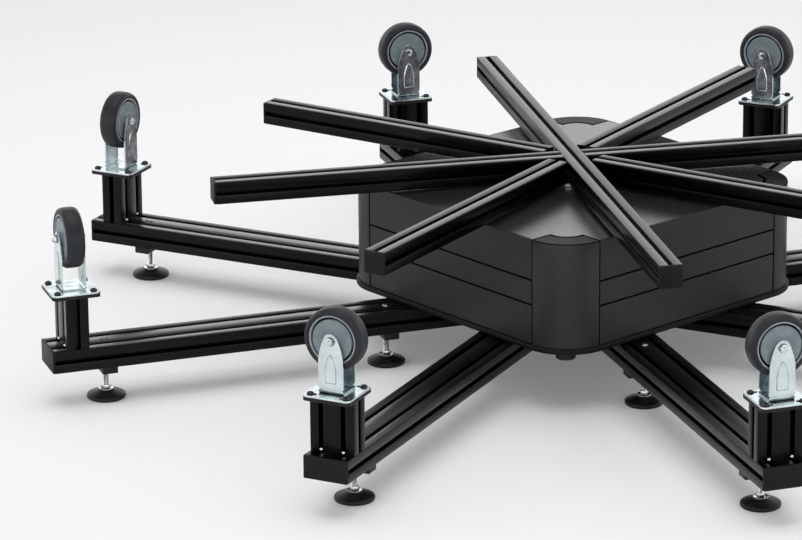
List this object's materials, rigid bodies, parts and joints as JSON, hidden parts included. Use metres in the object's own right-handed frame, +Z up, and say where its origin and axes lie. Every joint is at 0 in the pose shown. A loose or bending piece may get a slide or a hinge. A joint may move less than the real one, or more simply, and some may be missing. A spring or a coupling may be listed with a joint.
{
  "type": "motorised turntable frame",
  "caption": "Low motorised turntable frame: radial slotted-extrusion arms with upturned castors, a square drive box, and a rotating star of extrusions.",
  "frame": {"origin": "on the turning axis, at the floor that the levelling feet stand on", "axes": "+Z up along the turning axis; the drive box's faces look along +X, -X, +Y and -Y"},
  "size_m": [1.8172, 1.8172, 0.35],
  "materials": {
    "black_anodised": "black anodised, satin",
    "charcoal_frame": "charcoal powder coat, satin",
    "charcoal_cover": "charcoal, satin gloss",
    "zinc_plate": "bright zinc plated",
    "grey_tyre": "matt grey thermoplastic rubber",
    "black_plastic": "moulded black",
    "machined_steel": "machined",
    "motor_housing": "cast, painted"
  },
  "bodies": {
    "base": {"base_arm_1": "black_anodised", "base_arm_2": "black_anodised", "base_arm_3": "black_anodised", "base_arm_4": "black_anodised", "base_arm_5": "black_anodised", "base_arm_6": "black_anodised", "base_arm_7": "black_anodised", "base_arm_8": "black_anodised", "castor_post_1": "black_anodised", "castor_post_2": "black_anodised", "castor_post_3": "black_anodised", "castor_post_4": "black_anodised", "castor_post_5": "black_anodised", "castor_post_6": "black_anodised", "castor_post_7": "black_anodised", "castor_post_8": "black_anodised", "castor_bracket_1": "zinc_plate", "castor_bracket_2": "zinc_plate", "castor_bracket_3": "zinc_plate", "castor_bracket_4": "zinc_plate", "castor_bracket_5": "zinc_plate", "castor_bracket_6": "zinc_plate", "castor_bracket_7": "zinc_plate", "castor_bracket_8": "zinc_plate", "base_frame": "charcoal_frame", "side_panel_right": "charcoal_cover", "side_panel_back": "charcoal_cover", "side_panel_left": "charcoal_cover", "side_panel_front": "charcoal_cover", "top_cover": "charcoal_cover", "gear_motor_unit": "motor_housing"},
    "turntable": {"turning_hub": "machined_steel", "star_beam_through": "black_anodised", "star_beam_cross_1": "black_anodised", "star_beam_cross_2": "black_anodised", "star_beam_diagonal_1": "black_anodised", "star_beam_diagonal_2": "black_anodised", "star_beam_diagonal_3": "black_anodised", "star_beam_diagonal_4": "black_anodised"},
    "roller": {"drive_roller": "grey_tyre"},
    "wheel_1": {"castor_wheel_1": "grey_tyre"},
    "wheel_2": {"castor_wheel_2": "grey_tyre"},
    "wheel_3": {"castor_wheel_3": "grey_tyre"},
    "wheel_4": {"castor_wheel_4": "grey_tyre"},
    "wheel_5": {"castor_wheel_5": "grey_tyre"},
    "wheel_6": {"castor_wheel_6": "grey_tyre"},
    "wheel_7": {"castor_wheel_7": "grey_tyre"},
    "wheel_8": {"castor_wheel_8": "grey_tyre"},
    "foot_1": {"levelling_foot_1": "black_plastic"},
    "foot_2": {"levelling_foot_2": "black_plastic"},
    "foot_3": {"levelling_foot_3": "black_plastic"},
    "foot_4": {"levelling_foot_4": "black_plastic"},
    "foot_5": {"levelling_foot_5": "black_plastic"},
    "foot_6": {"levelling_foot_6": "black_plastic"},
    "foot_7": {"levelling_foot_7": "black_plastic"},
    "foot_8": {"levelling_foot_8": "black_plastic"},
    "inner_foot_body_2": {"inner_foot_2": "black_plastic"},
    "inner_foot_body_4": {"inner_foot_4": "black_plastic"},
    "inner_foot_body_6": {"inner_foot_6": "black_plastic"},
    "inner_foot_body_8": {"inner_foot_8": "black_plastic"}
  },
  "joints": [
    {"name": "turntable_spin", "type": "hinge", "parent": "base", "child": "turntable", "pos_m": [0, 0, 0.33], "axis": [0, 0, 1], "continuous": true},
    {"name": "roller_spin", "type": "hinge", "parent": "base", "child": "roller", "pos_m": [-0.16943, -0.06167, 0.159], "axis": [0, 0, 1], "continuous": true},
    {"name": "wheel_1_roll", "type": "hinge", "parent": "base", "child": "wheel_1", "pos_m": [0.85089, 0.35245, 0.2975], "axis": [0.9239, 0.3827, 0], "continuous": true},
    {"name": "wheel_2_roll", "type": "hinge", "parent": "base", "child": "wheel_2", "pos_m": [0.35245, 0.85089, 0.2975], "axis": [0.3827, 0.9239, 0], "continuous": true},
    {"name": "wheel_3_roll", "type": "hinge", "parent": "base", "child": "wheel_3", "pos_m": [-0.35245, 0.85089, 0.2975], "axis": [-0.3827, 0.9239, 0], "continuous": true},
    {"name": "wheel_4_roll", "type": "hinge", "parent": "base", "child": "wheel_4", "pos_m": [-0.85089, 0.35245, 0.2975], "axis": [-0.9239, 0.3827, 0], "continuous": true},
    {"name": "wheel_5_roll", "type": "hinge", "parent": "base", "child": "wheel_5", "pos_m": [-0.85089, -0.35245, 0.2975], "axis": [-0.9239, -0.3827, 0], "continuous": true},
    {"name": "wheel_6_roll", "type": "hinge", "parent": "base", "child": "wheel_6", "pos_m": [-0.35245, -0.85089, 0.2975], "axis": [-0.3827, -0.9239, 0], "continuous": true},
    {"name": "wheel_7_roll", "type": "hinge", "parent": "base", "child": "wheel_7", "pos_m": [0.35245, -0.85089, 0.2975], "axis": [0.3827, -0.9239, 0], "continuous": true},
    {"name": "wheel_8_roll", "type": "hinge", "parent": "base", "child": "wheel_8", "pos_m": [0.85089, -0.35245, 0.2975], "axis": [0.9239, -0.3827, 0], "continuous": true},
    {"name": "foot_1_level", "type": "slide", "parent": "base", "child": "foot_1", "axis": [0, 0, 1], "range_m": [-0.012, 0.012]},
    {"name": "foot_2_level", "type": "slide", "parent": "base", "child": "foot_2", "axis": [0, 0, 1], "range_m": [-0.012, 0.012]},
    {"name": "foot_3_level", "type": "slide", "parent": "base", "child": "foot_3", "axis": [0, 0, 1], "range_m": [-0.012, 0.012]},
    {"name": "foot_4_level", "type": "slide", "parent": "base", "child": "foot_4", "axis": [0, 0, 1], "range_m": [-0.012, 0.012]},
    {"name": "foot_5_level", "type": "slide", "parent": "base", "child": "foot_5", "axis": [0, 0, 1], "range_m": [-0.012, 0.012]},
    {"name": "foot_6_level", "type": "slide", "parent": "base", "child": "foot_6", "axis": [0, 0, 1], "range_m": [-0.012, 0.012]},
    {"name": "foot_7_level", "type": "slide", "parent": "base", "child": "foot_7", "axis": [0, 0, 1], "range_m": [-0.012, 0.012]},
    {"name": "foot_8_level", "type": "slide", "parent": "base", "child": "foot_8", "axis": [0, 0, 1], "range_m": [-0.012, 0.012]},
    {"name": "inner_foot_2_level", "type": "slide", "parent": "base", "child": "inner_foot_body_2", "axis": [0, 0, 1], "range_m": [-0.012, 0.012]},
    {"name": "inner_foot_4_level", "type": "slide", "parent": "base", "child": "inner_foot_body_4", "axis": [0, 0, 1], "range_m": [-0.012, 0.012]},
    {"name": "inner_foot_6_level", "type": "slide", "parent": "base", "child": "inner_foot_body_6", "axis": [0, 0, 1], "range_m": [-0.012, 0.012]},
    {"name": "inner_foot_8_level", "type": "slide", "parent": "base", "child": "inner_foot_body_8", "axis": [0, 0, 1], "range_m": [-0.012, 0.012]}
  ],
  "couplings": [
    {"joint": "roller_spin", "follows": "turntable_spin", "ratio": -5}
  ]
}
